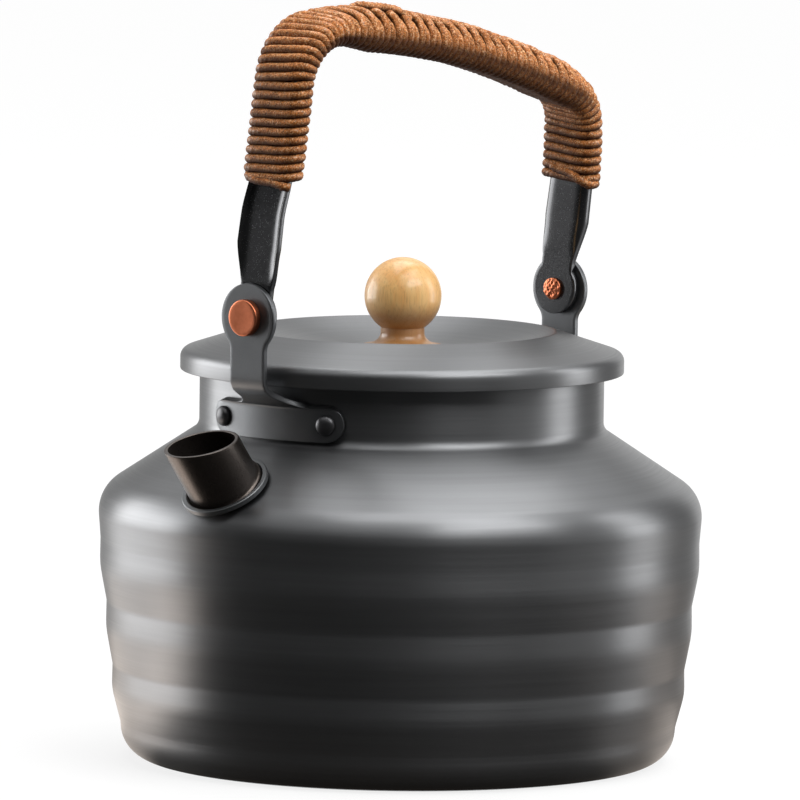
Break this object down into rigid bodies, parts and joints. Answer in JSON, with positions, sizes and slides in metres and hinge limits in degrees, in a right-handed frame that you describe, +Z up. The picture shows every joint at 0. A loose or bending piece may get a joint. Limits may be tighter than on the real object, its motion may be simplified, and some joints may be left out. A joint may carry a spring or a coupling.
{
  "type": "camp kettle",
  "caption": "Squat aluminium camp kettle with a ribbed body, short spout, riveted brackets, a swinging cord-wound bail and a dished lid with a wooden knob.",
  "frame": {"origin": "centre of the flat base, on the surface the kettle stands on", "axes": "+Z up, -X towards the spout, the bail's pivot line along X"},
  "size_m": [0.1699, 0.1598, 0.2023],
  "materials": {
    "anodised_aluminium": "dark hard-anodised, satin, fine spun lines",
    "bracket_aluminium": "dark anodised plate, satin",
    "spout_aluminium": "dark anodised tube, satin",
    "rivet_aluminium": "dark anodised rivets",
    "copper": null,
    "steel": "plain steel screw and washer",
    "lacquered_wood": "turned light wood, glossy lacquer",
    "waxed_cord": "brown waxed cord"
  },
  "bodies": {
    "kettle": {"body_shell": "anodised_aluminium", "spout_tube": "spout_aluminium", "spout_flange": "spout_aluminium", "spout_lock_ring": "spout_aluminium", "front_bracket": "bracket_aluminium", "rear_bracket": "bracket_aluminium", "front_band_rivet_left": "rivet_aluminium", "front_band_rivet_right": "rivet_aluminium", "rear_band_rivet_left": "rivet_aluminium", "rear_band_rivet_right": "rivet_aluminium", "front_pivot_rivet": "copper", "rear_pivot_rivet": "copper"},
    "bail": {"bail_strap": "bracket_aluminium", "front_leg_winding": "waxed_cord", "bar_winding": "waxed_cord", "rear_leg_winding": "waxed_cord"},
    "lid": {"lid_shell": "anodised_aluminium", "lid_collar": "anodised_aluminium", "knob": "lacquered_wood", "knob_screw": "steel", "knob_washer": "steel"}
  },
  "joints": [
    {"name": "bail_hinge", "type": "hinge", "parent": "kettle", "child": "bail", "pos_m": [0, -0.0015, 0.122], "axis": [1, 0, 0], "range_deg": [-120, 105]},
    {"name": "lid_lift", "type": "slide", "parent": "kettle", "child": "lid", "axis": [0, 0, 1], "range_m": [0, 0.038]}
  ]
}
